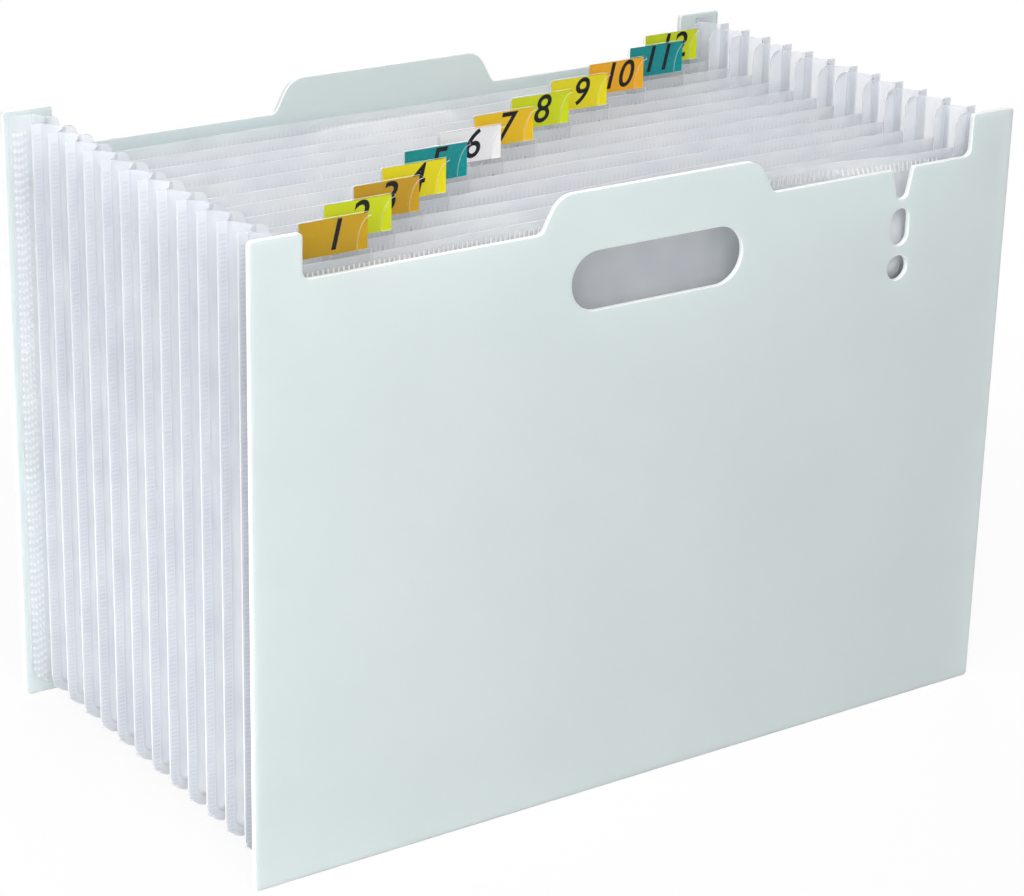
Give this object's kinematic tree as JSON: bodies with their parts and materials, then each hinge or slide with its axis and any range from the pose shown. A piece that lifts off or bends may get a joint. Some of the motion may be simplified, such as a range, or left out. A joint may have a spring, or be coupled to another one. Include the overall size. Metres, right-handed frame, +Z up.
{
  "type": "accordion file folder",
  "caption": "Free-standing accordion file: two stiff covers with hand grips joined by a folding film bellows, with film dividers and clear index tabs with coloured labels.",
  "frame": {"origin": "middle of the footprint of the drawn-out folder, on the surface that both covers stand on", "axes": "+X to the right as seen from the front cover, -Y towards the front cover, +Z up"},
  "size_m": [0.33, 0.1828, 0.236],
  "materials": {
    "cover_board": "satin",
    "divider_film": "frosted film",
    "gusset_film": "frosted film",
    "clear_tab": "clear",
    "label_amber": "paper",
    "label_lime": "paper",
    "label_ochre": "paper",
    "label_yellow": "paper",
    "label_teal": "paper",
    "label_white": "paper",
    "label_gold": "paper",
    "label_orange": "paper"
  },
  "bodies": {
    "rear_cover": {"rear_cover": "cover_board", "gusset_13": "gusset_film"},
    "front_cover": {"front_cover": "cover_board"},
    "divider_01": {"divider_01": "divider_film", "index_tab_01": "clear_tab", "label_01": "label_amber", "gusset_01": "gusset_film"},
    "divider_02": {"divider_02": "divider_film", "index_tab_02": "clear_tab", "label_02": "label_lime", "gusset_02": "gusset_film"},
    "divider_03": {"divider_03": "divider_film", "index_tab_03": "clear_tab", "label_03": "label_ochre", "gusset_03": "gusset_film"},
    "divider_04": {"divider_04": "divider_film", "index_tab_04": "clear_tab", "label_04": "label_yellow", "gusset_04": "gusset_film"},
    "divider_05": {"divider_05": "divider_film", "index_tab_05": "clear_tab", "label_05": "label_teal", "gusset_05": "gusset_film"},
    "divider_06": {"divider_06": "divider_film", "index_tab_06": "clear_tab", "label_06": "label_white", "gusset_06": "gusset_film"},
    "divider_07": {"divider_07": "divider_film", "index_tab_07": "clear_tab", "label_07": "label_gold", "gusset_07": "gusset_film"},
    "divider_08": {"divider_08": "divider_film", "index_tab_08": "clear_tab", "label_08": "label_lime", "gusset_08": "gusset_film"},
    "divider_09": {"divider_09": "divider_film", "index_tab_09": "clear_tab", "label_09": "label_yellow", "gusset_09": "gusset_film"},
    "divider_10": {"divider_10": "divider_film", "index_tab_10": "clear_tab", "label_10": "label_orange", "gusset_10": "gusset_film"},
    "divider_11": {"divider_11": "divider_film", "index_tab_11": "clear_tab", "label_11": "label_teal", "gusset_11": "gusset_film"},
    "divider_12": {"divider_12": "divider_film", "index_tab_12": "clear_tab", "label_12": "label_lime", "gusset_12": "gusset_film"}
  },
  "joints": [
    {"name": "front_cover_slide", "type": "slide", "parent": "rear_cover", "child": "front_cover", "axis": [0, 1, 0], "range_m": [0, 0.14755], "deforming": ["gusset_01"]},
    {"name": "divider_01_slide", "type": "slide", "parent": "rear_cover", "child": "divider_01", "axis": [0, 1, 0], "range_m": [0, 0.1362], "deforming": ["gusset_02"]},
    {"name": "divider_02_slide", "type": "slide", "parent": "rear_cover", "child": "divider_02", "axis": [0, 1, 0], "range_m": [0, 0.12485], "deforming": ["gusset_03"]},
    {"name": "divider_03_slide", "type": "slide", "parent": "rear_cover", "child": "divider_03", "axis": [0, 1, 0], "range_m": [0, 0.1135], "deforming": ["gusset_04"]},
    {"name": "divider_04_slide", "type": "slide", "parent": "rear_cover", "child": "divider_04", "axis": [0, 1, 0], "range_m": [0, 0.10215], "deforming": ["gusset_05"]},
    {"name": "divider_05_slide", "type": "slide", "parent": "rear_cover", "child": "divider_05", "axis": [0, 1, 0], "range_m": [0, 0.0908], "deforming": ["gusset_06"]},
    {"name": "divider_06_slide", "type": "slide", "parent": "rear_cover", "child": "divider_06", "axis": [0, 1, 0], "range_m": [0, 0.07945], "deforming": ["gusset_07"]},
    {"name": "divider_07_slide", "type": "slide", "parent": "rear_cover", "child": "divider_07", "axis": [0, 1, 0], "range_m": [0, 0.0681], "deforming": ["gusset_08"]},
    {"name": "divider_08_slide", "type": "slide", "parent": "rear_cover", "child": "divider_08", "axis": [0, 1, 0], "range_m": [0, 0.05675], "deforming": ["gusset_09"]},
    {"name": "divider_09_slide", "type": "slide", "parent": "rear_cover", "child": "divider_09", "axis": [0, 1, 0], "range_m": [0, 0.0454], "deforming": ["gusset_10"]},
    {"name": "divider_10_slide", "type": "slide", "parent": "rear_cover", "child": "divider_10", "axis": [0, 1, 0], "range_m": [0, 0.03405], "deforming": ["gusset_11"]},
    {"name": "divider_11_slide", "type": "slide", "parent": "rear_cover", "child": "divider_11", "axis": [0, 1, 0], "range_m": [0, 0.0227], "deforming": ["gusset_12"]},
    {"name": "divider_12_slide", "type": "slide", "parent": "rear_cover", "child": "divider_12", "axis": [0, 1, 0], "range_m": [0, 0.01135], "deforming": ["gusset_13"]}
  ],
  "couplings": [
    {"joint": "divider_01_slide", "follows": "front_cover_slide", "ratio": 0.92308},
    {"joint": "divider_02_slide", "follows": "front_cover_slide", "ratio": 0.84615},
    {"joint": "divider_03_slide", "follows": "front_cover_slide", "ratio": 0.76923},
    {"joint": "divider_04_slide", "follows": "front_cover_slide", "ratio": 0.69231},
    {"joint": "divider_05_slide", "follows": "front_cover_slide", "ratio": 0.61538},
    {"joint": "divider_06_slide", "follows": "front_cover_slide", "ratio": 0.53846},
    {"joint": "divider_07_slide", "follows": "front_cover_slide", "ratio": 0.46154},
    {"joint": "divider_08_slide", "follows": "front_cover_slide", "ratio": 0.38461},
    {"joint": "divider_09_slide", "follows": "front_cover_slide", "ratio": 0.30769},
    {"joint": "divider_10_slide", "follows": "front_cover_slide", "ratio": 0.23077},
    {"joint": "divider_11_slide", "follows": "front_cover_slide", "ratio": 0.15385},
    {"joint": "divider_12_slide", "follows": "front_cover_slide", "ratio": 0.076923}
  ]
}
